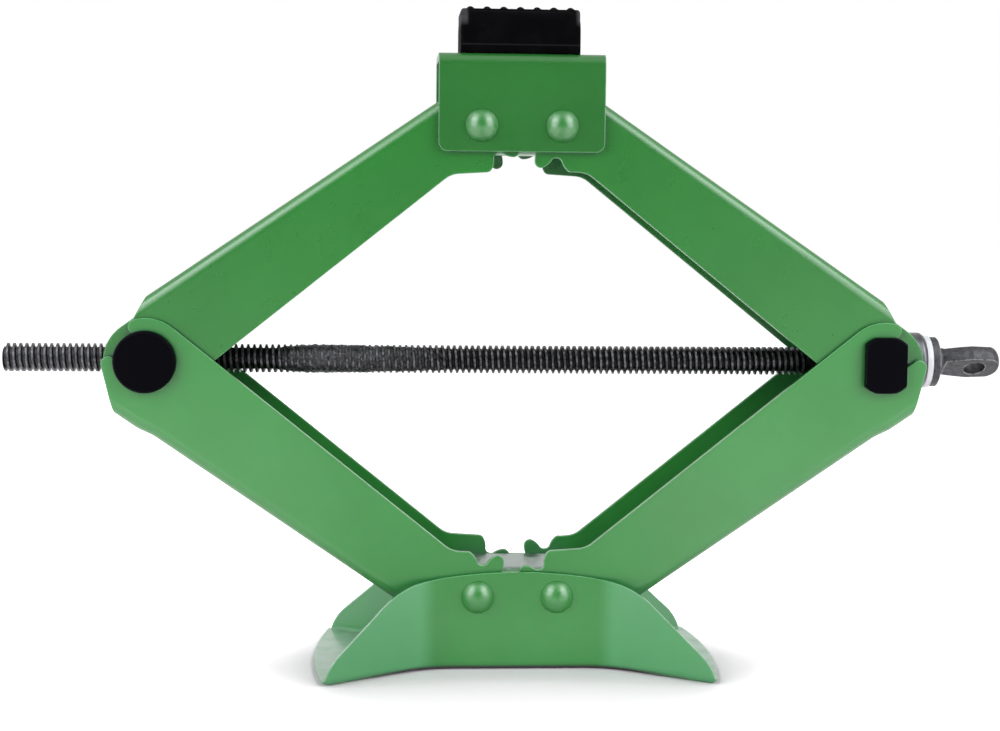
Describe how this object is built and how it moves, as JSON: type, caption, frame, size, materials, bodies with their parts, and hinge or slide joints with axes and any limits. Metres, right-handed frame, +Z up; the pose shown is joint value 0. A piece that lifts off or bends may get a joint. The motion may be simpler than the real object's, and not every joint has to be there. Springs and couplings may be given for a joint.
{
  "type": "scissor jack",
  "caption": "Scissor jack: four pressed-steel channel arms with geared ends fold between a flared foot and a padded top bracket, drawn together by a long horizontal screw.",
  "frame": {"origin": "on the ground under the middle of the foot, midway between the two base rivets", "axes": "+Z up, +X along the screw towards its eye, +Y to the back as the picture shows it"},
  "size_m": [0.4968, 0.1134, 0.3239],
  "materials": {
    "green_paint": "green powder coat, semi-gloss",
    "zinc_steel": "bare zinc-plated sheet",
    "black_steel": "black oxide with grease",
    "grey_steel": "forged, grey phosphate",
    "bearing_steel": "turned bearing steel",
    "cage_brass": "stamped",
    "black_rubber": "moulded, matt",
    "white_nylon": "white nylon"
  },
  "bodies": {
    "base": {"base_plate": "green_paint", "base_spacer": "zinc_steel", "base_rivet_left": "green_paint", "base_rivet_right": "green_paint"},
    "lower_left": {"lower_left_arm": "green_paint"},
    "lower_right": {"lower_right_arm": "green_paint"},
    "upper_left": {"upper_left_arm": "green_paint"},
    "upper_right": {"upper_right_arm": "green_paint"},
    "saddle": {"top_bracket": "green_paint", "saddle_pad": "black_rubber", "top_spacer": "zinc_steel", "top_rivet_left": "green_paint", "top_rivet_right": "green_paint"},
    "nut": {"trunnion_nut": "black_steel"},
    "thrust_block": {"thrust_trunnion": "black_steel", "bearing_seat_race": "bearing_steel"},
    "screw": {"lead_screw": "black_steel", "screw_eye": "grey_steel", "nylon_washer": "white_nylon", "bearing_shroud": "bearing_steel"},
    "ball_cage": {"bearing_cage": "cage_brass", "bearing_balls": "bearing_steel"}
  },
  "joints": [
    {"name": "lift", "type": "hinge", "parent": "base", "child": "lower_left", "pos_m": [-0.0195, 0, 0.0363], "axis": [0, 1, 0], "range_deg": [-29, 12]},
    {"name": "lower_right_pivot", "type": "hinge", "parent": "base", "child": "lower_right", "pos_m": [0.0195, 0, 0.0363], "axis": [0, 1, 0], "range_deg": [-12, 29]},
    {"name": "upper_left_pivot", "type": "hinge", "parent": "lower_left", "child": "upper_left", "pos_m": [-0.18069, 0, 0.15128], "axis": [0, 1, 0], "range_deg": [-24, 58]},
    {"name": "saddle_pivot", "type": "hinge", "parent": "upper_left", "child": "saddle", "pos_m": [-0.0195, 0, 0.26626], "axis": [0, 1, 0], "range_deg": [-29, 12]},
    {"name": "upper_right_pivot", "type": "hinge", "parent": "lower_right", "child": "upper_right", "pos_m": [0.18069, 0, 0.15128], "axis": [0, 1, 0], "range_deg": [-58, 24]},
    {"name": "nut_pivot", "type": "hinge", "parent": "lower_left", "child": "nut", "pos_m": [-0.18069, 0, 0.15128], "axis": [0, 1, 0], "range_deg": [-12, 29]},
    {"name": "thrust_pivot", "type": "hinge", "parent": "lower_right", "child": "thrust_block", "pos_m": [0.18069, 0, 0.15128], "axis": [0, 1, 0], "range_deg": [-29, 12]},
    {"name": "screw_turn", "type": "hinge", "parent": "thrust_block", "child": "screw", "pos_m": [0.18069, 0, 0.15128], "axis": [1, 0, 0], "continuous": true},
    {"name": "ball_cage_turn", "type": "hinge", "parent": "thrust_block", "child": "ball_cage", "pos_m": [0.18069, 0, 0.15128], "axis": [1, 0, 0], "continuous": true}
  ],
  "couplings": [
    {"joint": "lower_right_pivot", "follows": "lift", "ratio": -1},
    {"joint": "upper_left_pivot", "follows": "lift", "ratio": -2},
    {"joint": "saddle_pivot", "follows": "lift", "ratio": 1},
    {"joint": "upper_right_pivot", "follows": "lift", "ratio": 2},
    {"joint": "nut_pivot", "follows": "lift", "ratio": -1},
    {"joint": "thrust_pivot", "follows": "lift", "ratio": 1},
    {"joint": "ball_cage_turn", "follows": "screw_turn", "ratio": 0.5}
  ]
}
